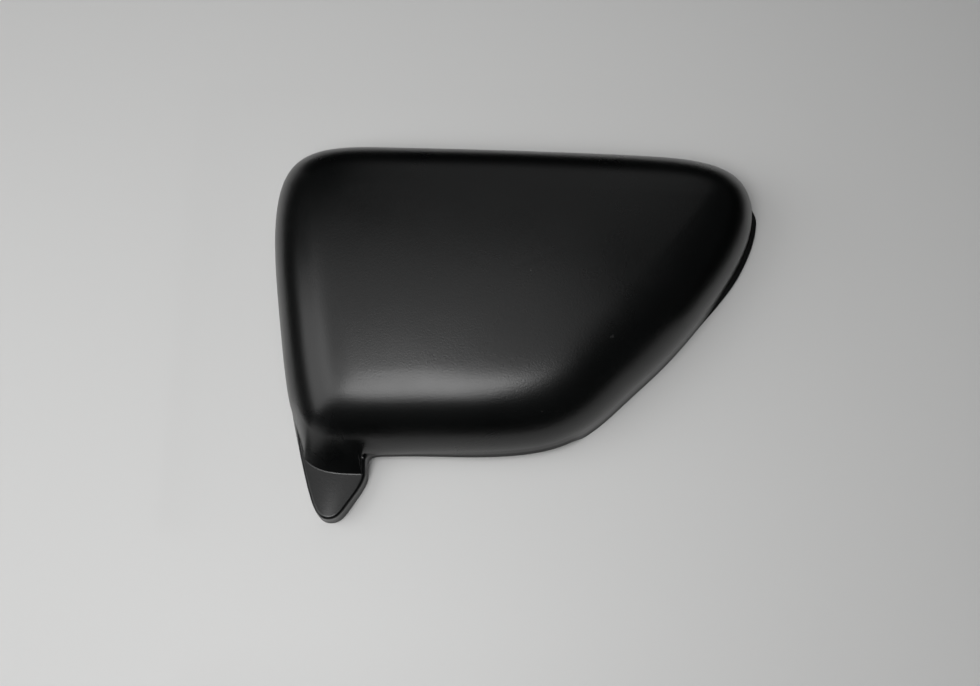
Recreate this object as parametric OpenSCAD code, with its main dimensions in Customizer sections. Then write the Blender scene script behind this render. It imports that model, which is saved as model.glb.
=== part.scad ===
// Motorcycle side cover: one injection-moulded shell, lying face up on its rim.
// Millimetres. +X runs along the cover, +Y towards its upper edge, +Z out of its face; the table is z = 0.

/* [Overall] */
// Length of the cover, left end to right end
cover_len = 296; // [240:1:360]
// Width of the cover, upper edge to the tip of the tab
cover_wid = 229; // [190:1:280]
// Height of the crown above the table
crown_z = 54; // [45:1:66]

/* [Shell] */
// Thickness of the moulded wall
wall_t = 3; // [2:0.1:4]
// Radius of the rounded shoulder between the face and the side wall
shoulder_r = 36; // [28:1:43]
// How far the side wall leans in between its foot and the start of the shoulder
wall_lean = 2; // [1:0.1:4]
// Slope of the side wall against the vertical where the shoulder starts, degrees
draft = 8; // [3:1:12]
// Radius of the gentle crown along the length
crown_rx = 970; // [700:10:1600]
// Radius of the gentle crown across the width
crown_ry = 560; // [420:10:1000]

/* [Tab] */
// Height of the middle of the tab's flat face above the table
tab_z = 11.8; // [10.5:0.1:14]
// Slope of the tab's face, which rises towards its tip, degrees
tab_tilt = 8; // [0:0.5:9]
// Rounding of the edge of the tab's face
tab_edge_r = 2; // [1:0.1:2.5]
// Slope of the shoulder where the skirt starts to flare out to the tab, degrees
flare_angle = 56; // [50:1:62]
// How far out the skirt has turned into its flatter lower part
flare_turn = 2; // [1:0.1:3]

/* [Rim] */
// Most that the thin ledge at the right end stands out from the foot of the wall
ledge_w = 2.5; // [1:0.1:4]
// Thickness of the ledge
ledge_t = 2.5; // [1.5:0.1:4]
// Height of the raised part of the rim along the lower side
arch_h = 8; // [4:0.5:10]
// Length over which the rim climbs to the raised part
arch_ramp = 9; // [6:0.5:14]

/* [Inside] */
// Diameter of the three push-in pegs
peg_d = 8; // [6:0.1:10]
// Height of the peg tips above the table
peg_tip_z = 2; // [1:0.5:5]
// Length of the plain round part of the two long pegs
peg_len = 16; // [12:0.5:22]
// Diameter of the posts that carry the two long pegs
post_d = 12; // [10:0.5:16]
// Thickness of the ribs and webs
rib_t = 2; // [1.5:0.1:3]
// Depth of the low stiffening ribs under the shell
rib_depth = 5; // [3:0.5:8]

/* [Hidden] */

nominal_len = 296;           // the sizes for which the control points are given
nominal_wid = 229;
centring = [0.9, -0.6, 0];   // brings the origin under the middle of the cover
skin_colour = [0.09, 0.09, 0.09];
crown_mid = [-12, 17];       // where the crown is highest
web_reach = 15;              // how far the webs run out from the middle of a post
web_drop = 16;               // how far the webs run down a post
rib_fade = 12;               // length over which the end of a rib runs out into the shell
peg_chamfer = 1;             // at the tip of each peg
upper_pegs = [[-88, 62], [92, 64]];
tab_peg = [-106, -95];
tab_collar_r = 5.5;          // radius of the short collar at the root of the tab's peg
long_ribs = [[63, -104, 108], [0, -90, 62]];           // y, and x of both ends
cross_ribs = [[-50, -34, 72], [2, -34, 72], [50, -20, 72]];    // x, and y of both ends

// Control points of plan outlines, clockwise from the upper left corner: first those that all of them share.
upper_edge = [[-161, 123], [-79, 114], [31, 110], [77, 110]];
right_end = [[143, 108], [153, 57], [94, -19]];
lower_side = [[64, -43], [27, -81]];
left_side = [[-142, -3]];
shared = concat(upper_edge, right_end, lower_side);
// The shell at the foot of its wall, and the same with the rounder lower left corner that it has at the crown.
shell_net = concat(shared, [[-56, -78], [-110, -82], [-133, -72]], left_side);
crown_net = concat(shared, [[-56, -78], [-97, -81], [-133, -60]], left_side);
// The skirt that flares out at the lower left and ends on the tab's face.
skirt_net = concat(shared, [[-45, -85.5], [-106, -91.5], [-132.5, -79.5]], left_side);
// The foot of the wall, with the neck and the right side of the tab, then its tip and its left side.
foot_net = concat(shared, [[-56, -78], [-76, -78.7], [-88, -78.5], [-85, -91], [-96, -106]],
    [[-101.5, -115.5], [-113, -116], [-119, -103], [-125, -83], [-133.5, -52]], left_side);
// Where each span of the foot outline stands on the shell outline, and how many steps it is cut into.
foot_on_shell = [0, 1, 2, 3, 4, 5, 6, 7, 8, 8.9, 9.38, 9.58, 9.77, 9.88, 10, 10.22, 10.42, 10.68, 11.25, 12.03, 13];
foot_steps = [8, 5, 3, 5, 9, 7, 3, 5, 7, 4, 4, 5, 4, 4, 4, 4, 3, 5, 5, 10];

function scaled(net) = [for (p = net) [p[0] * cover_len / nominal_len, p[1] * cover_wid / nominal_wid]];
function smooth(v) = let (c = min(1, max(0, v))) c * c * (3 - 2 * c);
function mix(a, b, k) = a + (b - a) * k;
function unit(v) = v / norm(v);
function inward(v) = [v[1], -v[0]];    // to the right of the way of travel, which is clockwise

// A closed outline of control points, set in by d on every side.
function inset(net, d) = let (n = len(net)) [
    for (i = [0 : n - 1])
        let (a = inward(unit(net[i] - net[(i + n - 1) % n])), b = inward(unit(net[(i + 1) % n] - net[i])))
            net[i] + (a + b) * d / (1 + a * b)
];
// A point of the closed cubic curve that follows the control points.
function on_curve(net, u) = let (
    n = len(net), i = floor(u), t = u - i,
    a = net[(i + n - 1) % n], b = net[i % n], c = net[(i + 1) % n], e = net[(i + 2) % n]
) (pow(1 - t, 3) * a + (3 * t * t * t - 6 * t * t + 4) * b
    + (-3 * t * t * t + 3 * t * t + 3 * t + 1) * c + t * t * t * e) / 6;

shell_line = scaled(shell_net);
crown_line = scaled(crown_net);
skirt_line = scaled(skirt_net);
foot_line = scaled(foot_net);
foot_u = [for (k = [0 : len(foot_steps) - 1]) for (i = [0 : foot_steps[k] - 1]) k + i / foot_steps[k]];
shell_u = [for (u = foot_u) let (k = floor(u)) mix(foot_on_shell[k], foot_on_shell[k + 1], u - k)];
last = len(foot_u) - 1;

function crown(p) = crown_z - pow(p[0] - crown_mid[0], 2) / (2 * crown_rx) - pow(p[1] - crown_mid[1], 2) / (2 * crown_ry);
function foot_ring(d) = let (net = inset(foot_line, d)) [for (u = foot_u) on_curve(net, u)];
function shell_ring(d) = let (net = inset(mix(shell_line, crown_line, min(1, d / shoulder_r)), d))
    [for (u = shell_u) on_curve(net, u)];
function skirt_ring(d) = let (net = inset(skirt_line, d)) [for (u = shell_u) on_curve(net, u)];
function with_z(ring, z) = [for (i = [0 : last]) [ring[i][0], ring[i][1], z[i]]];

// The shoulder where its surface slopes by the given angle, t below the outer skin.
steepest = 90 - draft;
function shoulder_in(angle, t) = wall_lean + shoulder_r * sin(steepest) - (shoulder_r - t) * sin(angle);
function shoulder_drop(angle, t) = shoulder_r - (shoulder_r - t) * cos(angle);
function shoulder(angle, t) = let (ring = shell_ring(shoulder_in(angle, t)))
    [for (p = ring) [p[0], p[1], crown(p) - shoulder_drop(angle, t)]];

// Share along the foot outline: 0 before start and after end, 1 from full to full_end.
function window(u, start, full, full_end, end) =
    smooth((u - start) / (full - start)) * smooth((end - u) / (end - full_end));

foot_0 = foot_ring(0);
wall_top = shoulder(steepest, 0);
wall_z = [for (p = wall_top) p[2]];
in_tab = [for (u = foot_u) window(u, 10.8, 11.3, 17.2, 18.1)];       // the tab's own side wall
on_face = [for (u = foot_u) window(u, 11.9, 12, 16.95, 17.12)];      // where the flat face lies inside the edge

// Height of the rim: on the table, apart from the raised part of the lower side.
arch_from = 7;                                    // spans of the foot outline that the raised part touches
arch_to = 13;
arch_start_x = 39 * cover_len / nominal_len;
arch_end_y = -92 * cover_wid / nominal_wid;
arch_end_ramp = 6;                                // the rim comes down faster at the tab
rim_z = [for (i = [0 : last]) foot_u[i] < arch_from || foot_u[i] > arch_to ? 0
    : arch_h * smooth((arch_start_x - foot_0[i][0]) / arch_ramp) * smooth((foot_0[i][1] - arch_end_y) / arch_end_ramp)];

// The ledge round the right end.
bare_rim_t = 0.8;                                 // height of the plain rim where there is no ledge
in_ledge = [for (u = foot_u) window(u, 4.48, 4.72, 5.25, 5.85)];
ledge_z = [for (i = [0 : last]) rim_z[i] + mix(bare_rim_t, ledge_t, in_ledge[i])];
root_z = [for (z = ledge_z) z + 0.25];
function foot_out(i) = let (a = foot_0[(i + last) % (last + 1)], b = foot_0[(i + 1) % (last + 1)])
    foot_0[i] - inward(unit(b - a)) * ledge_w * in_ledge[i];
ledge_ring = [for (i = [0 : last]) foot_out(i)];

// From the point a towards the point b by the reach, and never all the way.
function towards(a, b, reach) = let (g = norm(b - a)) a + (b - a) * min(0.9, reach / max(g, 0.01));
function bend(a, corner, b, t) = (1 - t) * (1 - t) * a + 2 * t * (1 - t) * corner + t * t * b;
function blended(shell_pts, tab_pts) = [for (i = [0 : last]) mix(shell_pts[i], tab_pts[i], in_tab[i])];
function halfway(a, b, k) = [for (i = [0 : last]) mix(a[i], b[i], k)];

// The tab: its face is t below the outer skin, and its rounded edge climbs along the neck as the skirt does.
tab_lean = wall_lean / 3;                         // lean of the tab's side up to its rounded edge
tab_mid_y = -101 * cover_wid / nominal_wid;
neck_to = 12;                                     // span of the foot outline where the neck ends
neck_from_y = -88.5 * cover_wid / nominal_wid;    // where the skirt reaches the neck
neck_climb = 1.1;                                 // rise of the edge along the neck, for each millimetre
function face_z(p, t) = tab_z - t + tan(tab_tilt) * (tab_mid_y - p[1]);
face_line = foot_ring(tab_lean + tab_edge_r);
function edge_z(t) = [for (i = [0 : last]) face_z(face_line[i], t)
    + (foot_u[i] < neck_to ? neck_climb * max(0, face_line[i][1] - neck_from_y) : 0)];
function edge_ring(a) = let (z = edge_z(0)) with_z(foot_ring(tab_lean + tab_edge_r * (1 - sin(a))),
    [for (h = z) h - tab_edge_r * (1 - cos(a))]);

// The skirt between the tab's face and the shoulder: its foot, its turn below the shoulder, and the ends of its fillet.
fillet = 0.7;
neck_clear = 0.8;                                 // the skirt's foot starts this far inside the neck's edge
neck_fade = 1.2;                                  // span over which it comes back to its own line
function skirt_foot(edge, t) = let (line = skirt_ring(t)) [for (i = [0 : last])
    let (x = line[i][0] - (t + neck_clear) * (1 - smooth((foot_u[i] - neck_to) / neck_fade)))
        mix(edge[i], [x, line[i][1], face_z(line[i], t)], on_face[i])];
function skirt_turn(foot, top) = [for (i = [0 : last])
    let (way = unit([top[i][0] - foot[i][0], top[i][1] - foot[i][1]]) * flare_turn)
        top[i] - [way[0], way[1], flare_turn * tan(flare_angle)]];
function skirt_end(foot, other) = [for (i = [0 : last]) towards(foot[i], other[i], fillet)];
function skirt_rings(edge, top, t, steps) = let (
    foot = skirt_foot(edge, t), turn = skirt_turn(foot, top), low = skirt_end(foot, edge), high = skirt_end(foot, turn)
) concat([low, [for (i = [0 : last]) bend(low[i], foot[i], high[i], 0.5)]],
    [for (k = steps) [for (i = [0 : last]) bend(high[i], turn[i], top[i], k)]]);
// Rings of the shell's steep wall go over into the rings of the skirt along the tab.
function skirted(rings, t) = [for (k = [0 : len(rings) - 1])
    blended(shoulder(steepest - 2 - (steepest - 2 - flare_angle) * k / len(rings), t), rings[k])];

// Rings of the outer skin from the rim up to the crown.
tab_side = foot_ring(tab_lean);
wall_foot = shell_ring(wall_lean);
function wall_ring(up) = [for (i = [0 : last]) let (p = mix(tab_side[i], wall_foot[i], up))
    [p[0], p[1], mix(root_z[i], wall_z[i], up)]];
flare_top = shoulder(flare_angle, 0);
outer_rings = concat(
    [with_z(ledge_ring, rim_z), with_z(ledge_ring, ledge_z)],
    [with_z(halfway(foot_0, tab_side, 0.2), root_z)],
    [blended(wall_ring(0.5), edge_ring(90)), blended(wall_ring(0.7), edge_ring(50))],
    [blended(wall_ring(0.85), edge_ring(22)), blended(wall_top, edge_ring(0))],
    skirted(skirt_rings(edge_ring(0), flare_top, 0, [0, 0.3, 0.6, 0.82]), 0),
    [flare_top],
    [for (a = [49, 42, 35, 28, 20, 11, 0]) shoulder(a, 0)]
);
// Rings of the inner skin, the same from the rim up.
inner_line = foot_ring(tab_lean + wall_t + 1);
inner_z = edge_z(wall_t);
inner_wall = shell_ring(wall_lean + wall_t * sin(steepest));
inner_top = shoulder(flare_angle, wall_t);
inner_rings = concat(
    [with_z(foot_ring(wall_t), rim_z)],
    [blended(with_z(inner_wall, [for (i = [0 : last]) mix(rim_z[i], wall_z[i], 0.9)]),
        with_z(foot_ring(tab_lean + wall_t), [for (z = inner_z) z - 1]))],
    [blended(shoulder(steepest, wall_t), with_z(inner_line, inner_z))],
    skirted(skirt_rings(with_z(inner_line, inner_z), inner_top, wall_t, [0, 0.5]), wall_t),
    [inner_top],
    [for (a = [42, 28, 14, 0]) shoulder(a, wall_t)]
);
// Rings of the crown inside the shoulder, drawn in towards the middle.
function crown_ring(share, t) = [for (p = shell_ring(shoulder_in(0, t)))
    let (q = crown_mid + (p - crown_mid) * share) [q[0], q[1], crown(q) - t]];
outer_crown = [for (share = [0.75, 0.5, 0.25]) crown_ring(share, 0)];
inner_crown = [for (share = [0.66, 0.33]) crown_ring(share, wall_t)];

module shell() {
    all_rings = concat([for (i = [len(inner_crown) - 1 : -1 : 0]) inner_crown[i]],
        [for (i = [len(inner_rings) - 1 : -1 : 0]) inner_rings[i]], outer_rings, outer_crown);
    n = last + 1;
    rows = len(all_rings);
    points = concat([for (ring = all_rings) for (p = ring) p],
        [[crown_mid[0], crown_mid[1], crown_z - wall_t], [crown_mid[0], crown_mid[1], crown_z]]);
    faces = concat(
        [for (r = [0 : rows - 2]) for (i = [0 : n - 1]) let (j = (i + 1) % n)
            each [[r * n + i, (r + 1) * n + j, (r + 1) * n + i], [r * n + i, r * n + j, (r + 1) * n + j]]],
        [for (i = [0 : n - 1]) [rows * n, (i + 1) % n, i]],
        [for (i = [0 : n - 1]) [rows * n + 1, (rows - 1) * n + i, (rows - 1) * n + (i + 1) % n]]
    );
    polyhedron(points = points, faces = faces, convexity = 6);
}

// Height of the middle of the wall under the crown.
function mid_wall(x, y) = crown([x, y]) - wall_t / 2;

// A round peg with a chamfered tip; its root is wider where post_r is larger than the peg's own radius.
module peg(at, top, len, post_r) {
    r = peg_d / 2;
    translate([at[0], at[1], 0]) rotate_extrude($fn = 96) polygon([
        [0, peg_tip_z], [r - peg_chamfer, peg_tip_z], [r, peg_tip_z + peg_chamfer], [r, peg_tip_z + len],
        if (post_r > r) [post_r, peg_tip_z + len],
        [post_r, top], [0, top],
    ]);
}

// Two crossed webs between a post and the shell.
module webs(at) {
    stations = [-1, -0.5, 0, 0.5, 1] * web_reach;
    foot = post_d / 2 * 0.9;
    drop = mid_wall(at[0], at[1]) - web_drop;
    translate([0, at[1] + rib_t / 2, 0]) rotate([90, 0, 0]) linear_extrude(rib_t)
        polygon(concat([for (s = stations) [at[0] + s, mid_wall(at[0] + s, at[1])]],
            [[at[0] + foot, drop], [at[0] - foot, drop]]));
    translate([at[0] - rib_t / 2, 0, 0]) rotate([90, 0, 90]) linear_extrude(rib_t)
        polygon(concat([for (s = stations) [at[1] + s, mid_wall(at[0], at[1] + s)]],
            [[at[1] + foot, drop], [at[1] - foot, drop]]));
}

// Side view of a rib between two ends: each station gives its place along the rib and the height of the wall there.
module rib_side(stations) {
    first = stations[0][0];
    end = stations[len(stations) - 1][0];
    function depth(s) = wall_t / 2 + rib_depth * min(1, (s - first) / rib_fade, (end - s) / rib_fade);
    n = len(stations) - 1;
    polygon(concat(stations, [for (i = [n : -1 : 0]) stations[i] - [0, depth(stations[i][0])]]));
}
function spread(a, b) = concat([a], [for (k = [0 : 6]) mix(a + rib_fade, b - rib_fade, k / 6)], [b]);

module ribs() {
    for (r = long_ribs) translate([0, r[0] + rib_t / 2, 0]) rotate([90, 0, 0]) linear_extrude(rib_t)
        rib_side([for (x = spread(r[1], r[2])) [x, mid_wall(x, r[0])]]);
    for (r = cross_ribs) translate([r[0] - rib_t / 2, 0, 0]) rotate([90, 0, 90]) linear_extrude(rib_t)
        rib_side([for (y = spread(r[1], r[2])) [y, mid_wall(r[0], y)]]);
}

module side_cover() {
    color(skin_colour) translate(centring) union() {
        shell();
        for (at = upper_pegs) {
            peg(at, mid_wall(at[0], at[1]), peg_len, post_d / 2);
            webs(at);
        }
        // The collar ends flat, a little below the sloping wall all round it.
        collar_z = floor(2 * face_z(tab_peg + [0, tab_collar_r], wall_t) - 1) / 2;
        peg(tab_peg, face_z(tab_peg, wall_t / 2), collar_z - peg_tip_z, tab_collar_r);
        ribs();
    }
}

side_cover();
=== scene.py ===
"""Motorcycle side cover: one injection-moulded shell of satin black ABS, in the frame of the CAD part."""
import math

import bmesh
import bpy
import numpy as np
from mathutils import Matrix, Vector


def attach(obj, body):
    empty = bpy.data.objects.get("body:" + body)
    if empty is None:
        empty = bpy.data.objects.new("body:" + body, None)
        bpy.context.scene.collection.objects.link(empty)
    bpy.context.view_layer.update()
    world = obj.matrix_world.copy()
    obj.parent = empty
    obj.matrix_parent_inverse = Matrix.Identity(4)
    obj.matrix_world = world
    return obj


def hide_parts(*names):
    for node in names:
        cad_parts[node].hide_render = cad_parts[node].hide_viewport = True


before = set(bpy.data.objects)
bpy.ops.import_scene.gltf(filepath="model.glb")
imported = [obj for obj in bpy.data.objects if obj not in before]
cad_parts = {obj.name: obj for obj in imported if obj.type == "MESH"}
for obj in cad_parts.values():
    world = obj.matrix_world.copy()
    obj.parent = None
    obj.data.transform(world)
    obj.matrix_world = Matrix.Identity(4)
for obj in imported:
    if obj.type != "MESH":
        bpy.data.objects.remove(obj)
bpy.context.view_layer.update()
MM = 0.001

# Sizes of the cover, in millimetres and degrees. Most of them are those of the part's source.
CROWN_Z, CROWN_RX, CROWN_RY = 54.0, 970.0, 560.0
CROWN_MID = np.array([-12.0, 17.0])
WALL, WALL_LEAN, DRAFT, SHOULDER_R = 3.0, 2.0, 8.0, 36.0
TAB_Z, TAB_TILT, TAB_MID_Y, TAB_EDGE_R = 11.8, 8.0, -101.0, 2.0
NECK_TO, NECK_FROM_Y, NECK_CLIMB, NECK_CLEAR, NECK_FADE = 12, -88.5, 1.1, 0.8, 1.2
FLARE_ANGLE, FLARE_TURN, FILLET, HOLLOW = 56.0, 2.0, 0.7, 2.2
LEDGE_W, LEDGE_T, BARE_RIM_T = 2.5, 2.5, 0.8
ARCH_H, ARCH_RAMP, ARCH_START_X, ARCH_END_RAMP, ARCH_END_Y = 8.0, 9.0, 39.0, 6.0, -92.0
ARCH_SPANS = (7, 13)
RIM_SOFT = 0.35  # small rounding of the rim and the ledge
ROOT_RISE = 0.25  # how far above the ledge the wall starts
HOLLOW_AT = 0.45  # share of the skirt's way up where it hollows most
# The slope where the shoulder starts to ease into the crown, how gently it does, and in how many rings.
EASE_FROM, EASE_POWER, EASE_RINGS = 35.0, 3.5, 24
# Slopes at the foot of the shoulder and a little above it, where the skirt's rings begin.
STEEPEST = 90 - DRAFT
WALL_TOP = STEEPEST - 2
TAB_LEAN = WALL_LEAN / 3
# How far the rings of the crown reach from its middle, as shares of the shoulder's last ring.
OUTER_SHARES = (0.93, 0.85, 0.76, 0.66, 0.55, 0.43, 0.3, 0.16)
INNER_SHARES = (0.85, 0.68, 0.48, 0.25)
# Added to every place in the plan, so that the origin lies under the middle of the cover's box.
CENTRING = np.array([0.9, -0.6, 0.0])
# Edges that turn by more degrees than this stay sharp.
SHARP_FROM = 50

# Control points of the plan outlines, clockwise from the upper left corner.
SHARED = [(-161, 123), (-79, 114), (31, 110), (77, 110), (143, 108), (153, 57), (94, -19), (64, -43),
          (27, -81)]
LEFT_SIDE = [(-142, -3)]
SHELL_NET = np.array(SHARED + [(-56, -78), (-110, -82), (-133, -72)] + LEFT_SIDE, float)
CROWN_NET = np.array(SHARED + [(-56, -78), (-97, -81), (-133, -60)] + LEFT_SIDE, float)
SKIRT_NET = np.array(SHARED + [(-45, -85.5), (-106, -91.5), (-132.5, -79.5)] + LEFT_SIDE, float)
FOOT_NET = np.array(SHARED + [
    (-56, -78), (-76, -78.7), (-88, -78.5), (-85, -91), (-96, -106),
    (-101.5, -115.5), (-113, -116), (-119, -103), (-125, -83), (-133.5, -52)] + LEFT_SIDE, float)
# Where the foot's control points lie along the shell's outline, and the number of points on each stretch.
FOOT_ON_SHELL = [0, 1, 2, 3, 4, 5, 6, 7, 8, 8.9, 9.38, 9.58, 9.77, 9.88, 10, 10.22, 10.42, 10.68, 11.25,
                 12.03, 13]
FOOT_STEPS = [24, 16, 8, 14, 26, 22, 10, 16, 24, 14, 12, 16, 14, 12, 12, 12, 10, 16, 16, 30]
FOOT_U = np.concatenate([k + np.arange(n) / n for k, n in enumerate(FOOT_STEPS)])
SHELL_U = np.interp(FOOT_U, np.arange(len(FOOT_ON_SHELL)), FOOT_ON_SHELL)
# Stretches of the foot: each starts, is full, stops being full and ends.
TAB_SPAN = (10.8, 11.3, 17.2, 18.1)
FACE_SPAN = (11.9, 12, 16.95, 17.12)
LEDGE_SPAN = (4.48, 4.72, 5.25, 5.85)
HOLLOW_SPAN = (12.1, 14, 16.5, 17.1)
# How much earlier the tab's stretch starts and how much later it is full at the top of the skirt.
SKIRT_EARLY, SKIRT_LATE = 0.8, 1.4


def smooth(v):
    """The share v, eased in at 0 and out at 1."""
    v = np.clip(v, 0, 1)
    return v * v * (3 - 2 * v)


def mix(a, b, k):
    """What lies a share k of the way from a to b; k is one number or one for each point."""
    return a + (b - a) * (np.asarray(k)[..., None] if np.ndim(k) and np.ndim(a) > 1 else k)


def inset(net, d):
    """A closed clockwise outline of control points, set in by d on every side."""
    along = net - np.roll(net, 1, 0)
    along /= np.linalg.norm(along, axis=1)[:, None]
    before = np.stack([along[:, 1], -along[:, 0]], 1)
    after = np.roll(before, -1, 0)
    return net + (before + after) * d / (1 + (before * after).sum(1))[:, None]


def on_curve(net, u):
    """Points of the closed cubic curve that follows the control points."""
    n, i = len(net), np.floor(u).astype(int)
    t = (u - i)[:, None]
    a, b, c, e = (net[(i + k) % n] for k in (-1, 0, 1, 2))
    return ((1 - t) ** 3 * a + (3 * t ** 3 - 6 * t ** 2 + 4) * b
            + (-3 * t ** 3 + 3 * t ** 2 + 3 * t + 1) * c + t ** 3 * e) / 6


def sin(angle):
    return math.sin(math.radians(angle))


def cos(angle):
    return math.cos(math.radians(angle))


def tan(angle):
    return math.tan(math.radians(angle))


def window(start, full, full_end, end):
    """Share along the foot: 0 before start and after end, 1 from full to full_end."""
    return smooth((FOOT_U - start) / (full - start)) * smooth((end - FOOT_U) / (end - full_end))


def crown(p):
    """Height of the crown's outer skin over points in plan."""
    q = p[:, :2] - CROWN_MID
    return CROWN_Z - q[:, 0] ** 2 / (2 * CROWN_RX) - q[:, 1] ** 2 / (2 * CROWN_RY)


def foot_ring(d):
    """The outline of the foot, set in by d."""
    return on_curve(inset(FOOT_NET, d), FOOT_U)


def shell_ring(d):
    """The outline of the shell, set in by d; it goes over into the crown's as it does."""
    return on_curve(inset(mix(SHELL_NET, CROWN_NET, min(1, d / SHOULDER_R)), d), SHELL_U)


def lift(ring, z):
    """A ring in plan, raised to the height z."""
    return np.column_stack([ring[:, :2], np.broadcast_to(z, len(ring))])


def shoulder_in(angle, t):
    """How far inside the shell's outline the shoulder slopes by the angle, t below the outer skin."""
    return WALL_LEAN + SHOULDER_R * sin(STEEPEST) - (SHOULDER_R - t) * sin(angle)


def shoulder(angle, t):
    """The ring of the shoulder that slopes by the angle, t below the outer skin."""
    ring = shell_ring(shoulder_in(angle, t))
    return lift(ring, crown(ring) - SHOULDER_R + (SHOULDER_R - t) * cos(angle))


foot_0 = foot_ring(0)
wall_z = shoulder(STEEPEST, 0)[:, 2]
in_tab = window(*TAB_SPAN)
on_face = window(*FACE_SPAN)
in_ledge = window(*LEDGE_SPAN)
rim_z = np.where((FOOT_U < ARCH_SPANS[0]) | (FOOT_U > ARCH_SPANS[1]), 0, ARCH_H
                 * smooth((ARCH_START_X - foot_0[:, 0]) / ARCH_RAMP)
                 * smooth((foot_0[:, 1] - ARCH_END_Y) / ARCH_END_RAMP))
ledge_z = rim_z + mix(BARE_RIM_T, LEDGE_T, in_ledge)
root_z = ledge_z + ROOT_RISE


def outwards(ring):
    """The outward direction in plan at each point of a ring."""
    along = np.roll(ring, -1, 0) - np.roll(ring, 1, 0)
    along /= np.linalg.norm(along, axis=1)[:, None]
    return np.stack([-along[:, 1], along[:, 0]], 1)


def blended(shell_pts, tab_pts):
    """A ring of the shell that goes over into one of the tab."""
    return mix(shell_pts, tab_pts, in_tab)


def towards(a, b, reach):
    """Points that lie from a towards b, as far as the reach but never quite at b."""
    gap = np.linalg.norm(b - a, axis=1)
    return mix(a, b, np.minimum(0.9, reach / np.maximum(gap, 0.01)))


def bend(a, corner, b, t):
    """Points of the curve that leaves a towards the corner and comes to b from it."""
    return (1 - t) ** 2 * a + 2 * t * (1 - t) * corner + t * t * b


def face_z(ring, t):
    """Height of the tab's tilted face, t below its outer skin."""
    return TAB_Z - t + tan(TAB_TILT) * (TAB_MID_Y - ring[:, 1])


def edge_z(t):
    """Height of the tab's face along its edge; along the neck the edge climbs with the skirt."""
    line = foot_ring(TAB_LEAN + TAB_EDGE_R)
    climb = NECK_CLIMB * np.maximum(0, line[:, 1] - NECK_FROM_Y)
    return face_z(line, t) + np.where(FOOT_U < NECK_TO, climb, 0)


def edge_ring(angle):
    """The ring where the rounded edge of the tab slopes by the angle."""
    ring = foot_ring(TAB_LEAN + TAB_EDGE_R * (1 - sin(angle)))
    return lift(ring, edge_z(0) - TAB_EDGE_R * (1 - cos(angle)))


def skirt_rings(edge, top, t, steps):
    """From the tab's face through a small fillet up the flared skirt to the shoulder."""
    line = on_curve(inset(SKIRT_NET, t), SHELL_U)
    line[:, 0] -= (t + NECK_CLEAR) * (1 - smooth((FOOT_U - NECK_TO) / NECK_FADE))
    foot = mix(edge, lift(line, face_z(line, t)), on_face)
    way = top[:, :2] - foot[:, :2]
    way /= np.linalg.norm(way, axis=1)[:, None]
    turn = top - np.column_stack([way * FLARE_TURN, np.full(len(top), FLARE_TURN * tan(FLARE_ANGLE))])
    low, high = towards(foot, edge, FILLET), towards(foot, turn, FILLET)
    # The skirt hollows a little: steeper below the shoulder, flatter where it reaches the face.
    middle = mix(high, turn, HOLLOW_AT)
    middle[:, :2] += way * (HOLLOW * window(*HOLLOW_SPAN))[:, None]
    return [low] + [bend(low, foot, high, k) for k in (0.25, 0.5, 0.75)] + [
        mix(bend(high, middle, turn, k), bend(middle, turn, top, k), k) for k in steps]


def skirted(rings, t):
    """Rings up the shoulder, which along the tab are the skirt's; higher up they blend more gently."""
    start, full, full_end, end = TAB_SPAN
    made = []
    for k, ring in enumerate(rings):
        up = k / len(rings)
        share = window(start - SKIRT_EARLY * up, full + SKIRT_LATE * up * up, full_end, end)
        made.append(mix(shoulder(WALL_TOP - (WALL_TOP - FLARE_ANGLE) * up, t), ring, share))
    return made


def rim_edge():
    """The small roundings of the rim and of the ledge at the right end."""
    way = outwards(foot_0)
    out = foot_0 + way * (LEDGE_W * in_ledge)[:, None]
    # A quarter circle, as shares of its radius.
    soft = [(0, 0), (0.5, 0.13), (0.87, 0.5), (1, 1)]
    low = [lift(out - way * RIM_SOFT * (1 - a), rim_z + RIM_SOFT * b) for a, b in soft]
    high = [lift(out - way * RIM_SOFT * (1 - a) * np.maximum(0.15, in_ledge)[:, None], ledge_z - RIM_SOFT * b)
            for a, b in soft[::-1]]
    # The wall starts a little inside the foot's outline, on top of the ledge.
    side = foot_ring(TAB_LEAN)
    root = [lift(mix(foot_0, side, 0.05), root_z - 0.12), lift(mix(foot_0, side, 0.15), root_z)]
    return low + high + root


def outer_rings():
    """Rings of the outer skin, from the rim to the edge of the crown."""
    side, wall_foot = foot_ring(TAB_LEAN), shell_ring(WALL_LEAN)
    rings = rim_edge()
    edge_angles = (90, 78, 66, 54, 42, 30, 20, 10, 0)
    for k, angle in enumerate(edge_angles):
        up = 0.3 + 0.7 * k / (len(edge_angles) - 1)
        wall = lift(mix(side, wall_foot, up), mix(root_z, wall_z, up))
        rings.append(blended(wall, edge_ring(angle)))
    top = shoulder(FLARE_ANGLE, 0)
    steps = (0, 0.12, 0.24, 0.36, 0.48, 0.6, 0.7, 0.8, 0.9)
    rings += skirted(skirt_rings(edge_ring(0), top, 0, steps), 0)
    return rings + [shoulder(a, 0) for a in np.linspace(FLARE_ANGLE, EASE_FROM, 10)] + eased_rings()


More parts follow.
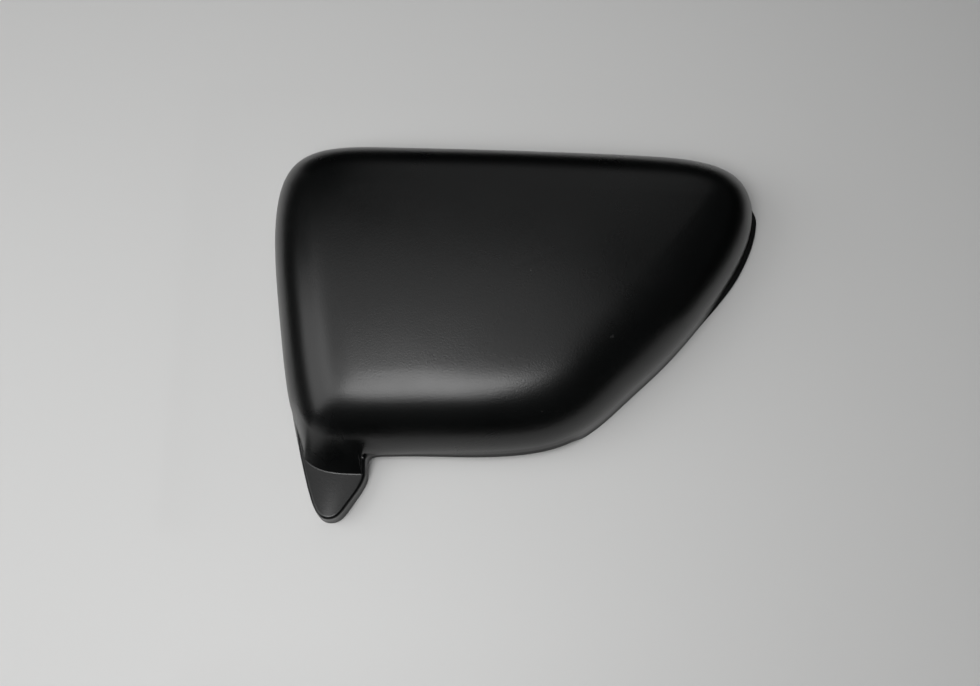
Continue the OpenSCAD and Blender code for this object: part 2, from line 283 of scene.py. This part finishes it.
def eased_rings():
    """Rings from the shoulder to the crown; the bend dies away evenly, so no line shows in the highlight."""
    drop = SHOULDER_R * (1 - cos(EASE_FROM))
    length = EASE_POWER * drop / tan(EASE_FROM)
    start, edge = shoulder_in(EASE_FROM, 0), shoulder_in(0, 0)
    inner = shell_ring(edge)
    way = CROWN_MID - inner
    way /= np.linalg.norm(way, axis=1)[:, None]
    rings = []
    for k in np.linspace(0, 1, EASE_RINGS + 1)[1:]:
        d = start + k * length
        ring = shell_ring(d) if d <= edge else inner + way * (d - edge)
        rings.append(lift(ring, crown(ring) - drop * (1 - k) ** EASE_POWER))
    return rings


def inner_rings():
    """Rings of the inner skin, from the rim to the edge of the crown."""
    edge = lift(foot_ring(TAB_LEAN + WALL + 1), edge_z(WALL))
    rings = [lift(foot_ring(WALL - RIM_SOFT), rim_z), lift(foot_ring(WALL), rim_z + RIM_SOFT)]
    wall = lift(shell_ring(WALL_LEAN + WALL * sin(STEEPEST)), mix(rim_z, wall_z, 0.9))
    rings.append(blended(wall, lift(foot_ring(TAB_LEAN + WALL), edge_z(WALL) - 1)))
    rings.append(blended(shoulder(STEEPEST, WALL), edge))
    rings += skirted(skirt_rings(edge, shoulder(FLARE_ANGLE, WALL), WALL, (0, 0.3, 0.6, 0.8)), WALL)
    return rings + [shoulder(a, WALL) for a in np.linspace(FLARE_ANGLE, 0, 15)]


def crown_rings(edge, shares, t):
    """Rings of the crown, t below the outer skin, that draw in from its edge towards its middle."""
    plans = [CROWN_MID + (edge[:, :2] - CROWN_MID) * share for share in shares]
    return [lift(plan, crown(plan) - t) for plan in plans]


def shell_mesh():
    """The closed shell, from the middle of the inner skin round the rim to the middle of the outer skin."""
    outer, inner = outer_rings(), inner_rings()
    outer += crown_rings(outer[-1], OUTER_SHARES, 0)
    inner += crown_rings(inner[-1], INNER_SHARES, WALL)
    rings = inner[::-1] + outer
    n, rows = len(FOOT_U), len(rings)
    middle = [[*CROWN_MID, CROWN_Z - WALL], [*CROWN_MID, CROWN_Z]]
    verts = np.vstack(rings + [middle]) + CENTRING
    pairs = [(i, (i + 1) % n) for i in range(n)]
    faces = [((r + 1) * n + i, (r + 1) * n + j, r * n + j, r * n + i)
             for r in range(rows - 1) for i, j in pairs]
    faces += [(i, j, rows * n) for i, j in pairs]
    faces += [((rows - 1) * n + j, (rows - 1) * n + i, rows * n + 1) for i, j in pairs]
    mesh = bpy.data.meshes.new("moulded_shell")
    mesh.from_pydata((verts * MM).tolist(), [], faces)
    mesh.shade_smooth()
    return mesh


# Posts, pegs and ribs on the hidden side, in millimetres.
PEG_R, PEG_TIP_Z, PEG_LEN, PEG_CHAMFER = 4.0, 2.0, 16.0, 1.0
POST_R, COLLAR_R, COLLAR_Z = 6.0, 5.5, 6.5
UPPER_PEGS, TAB_PEG = [(-88, 62), (92, 64)], (-106, -95)
RIB_T, RIB_DEPTH, RIB_FADE = 2.0, 5.0, 12.0
WEB_REACH, WEB_DROP = 15.0, 16.0
WEB_FADE = WEB_REACH - 0.9 * POST_R
RIBS = [((-104, 63), (108, 63)), ((-90, 0), (62, 0)), ((-50, -34), (-50, 72)), ((2, -34), (2, 72)),
        ((50, -20), (50, 72))]
WEBS = [((x - WEB_REACH * (1 - k), y - WEB_REACH * k), (x + WEB_REACH * (1 - k), y + WEB_REACH * k))
        for x, y in UPPER_PEGS for k in (0, 1)]
PEG_SIDES = 64
RIB_STEP = 4.0
SWEPT_H = 1.0  # height in metres of the bar that becomes a rib, before it is pressed down


def mid_wall(p):
    """Height of the middle of the wall over a point in plan."""
    return crown(np.array([p], float))[0] - WALL / 2


def peg(bm, at, top, shoulder_z, post_r):
    """A turned peg: chamfered tip, plain round part, flat shoulder and the wider post above it."""
    outline = [(PEG_R - PEG_CHAMFER, PEG_TIP_Z), (PEG_R, PEG_TIP_Z + PEG_CHAMFER), (PEG_R, shoulder_z),
               (post_r, shoulder_z), (post_r, top)]
    middle = np.array([*at, 0.0]) + CENTRING
    turns = [2 * math.pi * k / PEG_SIDES for k in range(PEG_SIDES)]
    rings = [[bm.verts.new((middle + [r * math.cos(a), r * math.sin(a), z]) * MM) for a in turns]
             for r, z in outline]
    for low, high in zip(rings, rings[1:]):
        for k in range(PEG_SIDES):
            n = (k + 1) % PEG_SIDES
            bm.faces.new((low[k], low[n], high[n], high[k]))
    bm.faces.new(rings[0][::-1])
    bm.faces.new(rings[-1])


# Colours, as sRGB codes.
ABS_BLACK, DUST_GREY = "#050606", "#8c8a86"
# The flags' black is painted shade: seen only in reflections, it stands in for the shaded table round the
# cover's foot.
TABLE_WHITE, PAINTED_SHADE_BLACK, ROOM_GREY = "#d9d9d8", "#060606", "#808284"


def linear(hex_code):
    """The linear colour of an sRGB hex code, with alpha 1."""
    channels = [int(hex_code[i:i + 2], 16) / 255 for i in (1, 3, 5)]
    return [c / 12.92 if c <= 0.04045 else ((c + 0.055) / 1.055) ** 2.4 for c in channels] + [1.0]


def add(tree, kind, settings=None, **sockets):
    """Add one node with its settings, socket values and links; i0, i1 and so on name a socket by number."""
    node = tree.nodes.new(kind)
    for key, value in (settings or {}).items():
        setattr(node, key, value)
    for key, value in sockets.items():
        numbered = key[0] == "i" and key[1:].isdigit()
        socket = node.inputs[int(key[1:]) if numbered else key.replace("_", " ")]
        if isinstance(value, bpy.types.NodeSocket):
            tree.links.new(value, socket)
        else:
            socket.default_value = value
    return node


def maths_in(tree):
    """A function that adds a maths node to the tree and gives its result."""
    def maths(operation, a, b=0.0, c=0.0):
        return add(tree, "ShaderNodeMath", {"operation": operation}, i0=a, i1=b, i2=c).outputs[0]
    return maths


def new_material(name):
    """An empty material and its node tree."""
    mat = bpy.data.materials.new(name)
    mat.use_nodes = True
    mat.node_tree.nodes.clear()
    return mat, mat.node_tree


def satin_black_abs():
    """Black ABS from a very finely etched mould: satin, with a faint sparkle and a little dust."""
    mat, t = new_material("satin_black_abs")
    maths = maths_in(t)

    def between(v, low, high, to_low, to_high):
        return add(t, "ShaderNodeMapRange", {"clamp": True}, Value=v, From_Min=low, From_Max=high,
                   To_Min=to_low, To_Max=to_high).outputs[0]

    where = add(t, "ShaderNodeTexCoord").outputs["Object"]
    # The etched grain is about 0.15 mm wide, too fine to show, so it is drawn 1 mm wide.
    grain = add(t, "ShaderNodeTexNoise", Vector=where, Scale=1000.0, Detail=2.0, Roughness=0.6).outputs[0]
    # Handling leaves patches about 40 mm wide that are a little duller.
    patch = add(t, "ShaderNodeTexNoise", Vector=where, Scale=25.0, Detail=3.0, Roughness=0.55).outputs[0]
    # Dust: pale specks of 0.3 to 0.8 mm, about one to each 7 mm square, and most of them hardly seen.
    cells = add(t, "ShaderNodeTexVoronoi", {"feature": "F1"}, Vector=where, Scale=150.0)
    chance = add(t, "ShaderNodeSeparateColor", Color=cells.outputs["Color"])
    reach = between(chance.outputs[0], 0.55, 1.0, 0.0, 0.075)
    speck = between(maths("SUBTRACT", reach, cells.outputs["Distance"]), 0.0, 0.03, 0.0, 1.0)
    speck = maths("MULTIPLY", speck, between(chance.outputs[1], 0.3, 1.0, 0.02, 0.35))
    colour = add(t, "ShaderNodeMix", {"data_type": "RGBA"}, i0=speck, i6=linear(ABS_BLACK),
                 i7=linear(DUST_GREY)).outputs[2]
    rough = maths("ADD", between(patch, 0.35, 0.65, 0.27, 0.31), maths("MULTIPLY", speck, 0.3))
    bump = add(t, "ShaderNodeBump", Strength=0.6, Distance=0.00010, Height=grain)
    shader = add(t, "ShaderNodeBsdfPrincipled", Base_Color=colour, Roughness=rough, IOR=1.54,
                 Normal=bump.outputs[0])
    add(t, "ShaderNodeOutputMaterial", Surface=shader.outputs[0])
    return mat


def pale_table():
    """Off-white painted board under the cover, plain and half matt."""
    mat, t = new_material("pale_table")
    shader = add(t, "ShaderNodeBsdfPrincipled", Base_Color=linear(TABLE_WHITE), Roughness=0.5)
    add(t, "ShaderNodeOutputMaterial", Surface=shader.outputs[0])
    return mat


def ribs_under_crown():
    """A node tree: each line in plan becomes a rib that hangs from the middle of the wall under the crown."""
    tree = bpy.data.node_groups.new("ribs_under_crown", "GeometryNodeTree")
    face = tree.interface
    face.new_socket("Lines", in_out="INPUT", socket_type="NodeSocketGeometry")
    for name in ("Thickness", "Root", "Depth", "Fade", "Crown height", "Crown radius along",
                 "Crown radius across", "Wall", "Step"):
        face.new_socket(name, in_out="INPUT", socket_type="NodeSocketFloat")
    face.new_socket("Crown middle", in_out="INPUT", socket_type="NodeSocketVector")
    face.new_socket("Material", in_out="INPUT", socket_type="NodeSocketMaterial")
    face.new_socket("Ribs", in_out="OUTPUT", socket_type="NodeSocketGeometry")
    given = tree.nodes.new("NodeGroupInput").outputs
    maths = maths_in(tree)
    lines = add(tree, "GeometryNodeMeshToCurve", Mesh=given["Lines"]).outputs[0]
    lines = add(tree, "GeometryNodeResampleCurve", {"mode": "LENGTH"}, Curve=lines,
                Length=given["Step"]).outputs[0]
    lines = add(tree, "GeometryNodeSetCurveNormal", {"mode": "Z_UP"}, Curve=lines).outputs[0]
    # How deep the rib is along its line: it runs out into the wall at both ends.
    gone = add(tree, "GeometryNodeSplineParameter").outputs["Length"]
    left = maths("SUBTRACT", add(tree, "GeometryNodeSplineLength").outputs["Length"], gone)
    share = maths("MINIMUM", 1.0, maths("DIVIDE", maths("MINIMUM", gone, left), given["Fade"]))
    depth = maths("MULTIPLY_ADD", share, given["Depth"], given["Root"])
    lines = add(tree, "GeometryNodeStoreNamedAttribute", {"data_type": "FLOAT", "domain": "POINT"},
                Geometry=lines, Name="depth", Value=depth).outputs[0]
    # A tall bar is swept along the line, then pressed down to the rib's depth under the crown.
    profile = add(tree, "GeometryNodeCurvePrimitiveQuadrilateral", Width=given["Thickness"],
                  Height=SWEPT_H).outputs[0]
    bar = add(tree, "GeometryNodeCurveToMesh", Curve=lines, Profile_Curve=profile, Fill_Caps=True).outputs[0]
    at = add(tree, "ShaderNodeSeparateXYZ", i0=add(tree, "GeometryNodeInputPosition").outputs[0]).outputs
    mid = add(tree, "ShaderNodeSeparateXYZ", i0=given["Crown middle"]).outputs
    fall = 0.0
    for k, radius in ((0, "Crown radius along"), (1, "Crown radius across")):
        off = maths("SUBTRACT", at[k], mid[k])
        sag = maths("DIVIDE", maths("MULTIPLY", off, off), maths("MULTIPLY", given[radius], 2.0))
        fall = maths("ADD", fall, sag)
    half_wall = maths("MULTIPLY", given["Wall"], 0.5)
    roof = maths("SUBTRACT", maths("SUBTRACT", given["Crown height"], fall), half_wall)
    deep = add(tree, "GeometryNodeInputNamedAttribute", {"data_type": "FLOAT"}, Name="depth").outputs[0]
    z = maths("MULTIPLY_ADD", maths("SUBTRACT", at[2], SWEPT_H / 2), deep, roof)
    place = add(tree, "ShaderNodeCombineXYZ", X=at[0], Y=at[1], Z=z).outputs[0]
    bar = add(tree, "GeometryNodeSetPosition", Geometry=bar, Position=place).outputs[0]
    bar = add(tree, "GeometryNodeSetShadeSmooth", Geometry=bar, Shade_Smooth=False).outputs[0]
    bar = add(tree, "GeometryNodeRealizeInstances", Geometry=bar).outputs[0]
    bar = add(tree, "GeometryNodeSetMaterial", Geometry=bar, Material=given["Material"]).outputs[0]
    add(tree, "NodeGroupOutput", Ribs=bar)
    return tree


def grown(name, lines, tree, sizes):
    """The plain mesh that the node tree makes from lines in plan, given in millimetres."""
    flat = bpy.data.meshes.new(name + "_lines")
    points = [(np.array([*p, 0.0]) + CENTRING) * MM for line in lines for p in line]
    flat.from_pydata(points, [(2 * k, 2 * k + 1) for k in range(len(lines))], [])
    source = bpy.data.objects.new(name + "_lines", flat)
    bpy.context.scene.collection.objects.link(source)
    modifier = source.modifiers.new(name, "NODES")
    modifier.node_group = tree
    for item in tree.interface.items_tree:
        if item.in_out == "INPUT" and item.name in sizes:
            modifier[item.identifier] = sizes[item.name]
    evaluated = source.evaluated_get(bpy.context.evaluated_depsgraph_get())
    mesh = bpy.data.meshes.new_from_object(evaluated)
    source.modifiers.remove(modifier)
    bpy.data.objects.remove(source)
    return mesh


def joined(name, meshes, pegs):
    """One mesh of the shell, its ribs and its pegs."""
    bm = bmesh.new()
    for mesh in meshes:
        bm.from_mesh(mesh)
    for given in pegs:
        peg(bm, *given)
    whole = bpy.data.meshes.new(name)
    bm.to_mesh(whole)
    bm.free()
    whole.shade_smooth()
    whole.set_sharp_from_angle(angle=math.radians(SHARP_FROM))
    return whole


abs_skin = satin_black_abs()
under_crown = {
    "Thickness": RIB_T * MM, "Crown height": CROWN_Z * MM, "Crown radius along": CROWN_RX * MM,
    "Crown radius across": CROWN_RY * MM, "Wall": WALL * MM, "Step": RIB_STEP * MM,
    "Crown middle": ((np.array([*CROWN_MID, 0.0]) + CENTRING) * MM).tolist(), "Material": abs_skin}
rib_sizes = {**under_crown, "Root": WALL / 2 * MM, "Depth": RIB_DEPTH * MM, "Fade": RIB_FADE * MM}
web_sizes = {**under_crown, "Root": 0.0, "Depth": WEB_DROP * MM, "Fade": WEB_FADE * MM}
tree = ribs_under_crown()
ribs = grown("ribs", RIBS, tree, rib_sizes)
webs = grown("webs", WEBS, tree, web_sizes)
pegs = [(at, mid_wall(at), PEG_TIP_Z + PEG_LEN, POST_R) for at in UPPER_PEGS]
pegs += [(TAB_PEG, face_z(np.array([[0, TAB_PEG[1]]]), WALL / 2)[0], COLLAR_Z, COLLAR_R)]
cover = bpy.data.objects.new("cover_shell", joined("cover_shell", [shell_mesh(), ribs, webs], pegs))
bpy.context.scene.collection.objects.link(cover)
cover.data.materials.clear()
cover.data.materials.append(abs_skin)
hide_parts("side_cover")
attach(cover, "root")


def panel(name, corners, material):
    """A flat four-cornered piece of the setting."""
    mesh = bpy.data.meshes.new(name)
    mesh.from_pydata(corners, [], [(0, 1, 2, 3)])
    mesh.materials.append(material)
    obj = bpy.data.objects.new(name, mesh)
    bpy.context.scene.collection.objects.link(obj)
    return obj


def area_light(name, place, target, sides, power):
    """A flat lamp that points at the target; its sides are in metres and its power in watts."""
    lamp = bpy.data.lights.new(name, "AREA")
    lamp.shape = "RECTANGLE"
    lamp.size, lamp.size_y = sides
    lamp.energy = power
    obj = bpy.data.objects.new(name, lamp)
    obj.location = place
    obj.rotation_mode = "QUATERNION"
    obj.rotation_quaternion = (Vector(target) - Vector(place)).to_track_quat("-Z", "Y")
    bpy.context.scene.collection.objects.link(obj)


def painted_shade_black():
    """Matt black for the flags. These are painted shade, seen only in reflections, standing in for the shaded
    table round the cover's foot.
    """
    mat, t = new_material("painted_shade_black")
    shader = add(t, "ShaderNodeBsdfDiffuse", Color=linear(PAINTED_SHADE_BLACK))
    add(t, "ShaderNodeOutputMaterial", Surface=shader.outputs[0])
    return mat


# Half the width of the floor, in metres.
FLOOR = 3.0
panel("floor", [(-FLOOR, -FLOOR, 0), (FLOOR, -FLOOR, 0), (FLOOR, FLOOR, 0), (-FLOOR, FLOOR, 0)], pale_table())
# Each lamp's place, its target, its two sides and its power.
area_light("overhead_lamp", (-0.20, -0.30, 0.90), (-0.06, -0.08, 0), (0.55, 0.52), 4.4)
area_light("overhead_glow", (-0.34, 0.0, 0.98), (-0.06, 0.0, 0), (1.0, 1.3), 2.7)
area_light("left_window", (-1.4, -0.2, 0.85), (0, 0, 0), (1.3, 1.3), 8.5)
area_light("back_wall", (0.2, 1.6, 1.3), (0, 0, 0), (1.6, 1.6), 2.0)

# Low black flags round the cover are painted shade. Only reflections see them. They stand in for the shaded
# table next to the foot of its wall and for the dark room beyond, so the foot mirrors dark instead of the
# pale table. Each is given by the two ends of its lower edge and its height.
FLAGS = [
    ("front_flag", (-0.19, -0.2), (0.4, -0.2), 0.075),
    ("back_flag", (-0.2, 0.165), (0.2, 0.165), 0.055),
    ("left_flag", (-0.205, -0.12), (-0.205, 0.165), 0.055),
    ("right_flag", (0.2, -0.05), (0.2, 0.165), 0.055)]
painted_shade_sheet = painted_shade_black()
for name, (x0, y0), (x1, y1), top in FLAGS:
    corners = [(x0, y0, 0), (x1, y1, 0), (x1, y1, top), (x0, y0, top)]
    flag = panel(name, corners, painted_shade_sheet)
    # Painted shade: the flags are hidden from the camera, from diffuse light and from shadows, so only
    # reflections show them.
    flag.visible_camera = flag.visible_diffuse = flag.visible_shadow = False

world = bpy.data.worlds.new("room")
world.use_nodes = True
bpy.context.scene.world = world
dim = world.node_tree.nodes["Background"].inputs
dim["Color"].default_value = linear(ROOM_GREY)
dim["Strength"].default_value = 0.12

# The camera's focal length and the picture's width, in pixels, and the sensor's width in millimetres.
FOCAL_LENGTH, PICTURE_WIDTH, SENSOR_WIDTH = 1000, 980, 36.0
camera_data = bpy.data.cameras.new("camera")
camera_data.sensor_width = SENSOR_WIDTH
camera_data.lens = FOCAL_LENGTH / PICTURE_WIDTH * SENSOR_WIDTH
camera = bpy.data.objects.new("camera", camera_data)
bpy.context.scene.collection.objects.link(camera)
ELEVATION, DISTANCE = math.radians(73), 0.6
look_at = Vector((-0.0161, -0.0086, 0))
camera.location = look_at + DISTANCE * Vector((0, -math.cos(ELEVATION), math.sin(ELEVATION)))
camera.rotation_euler = (math.pi / 2 - ELEVATION, 0, 0)
bpy.context.scene.camera = camera
bpy.context.scene.view_settings.view_transform = "Standard"
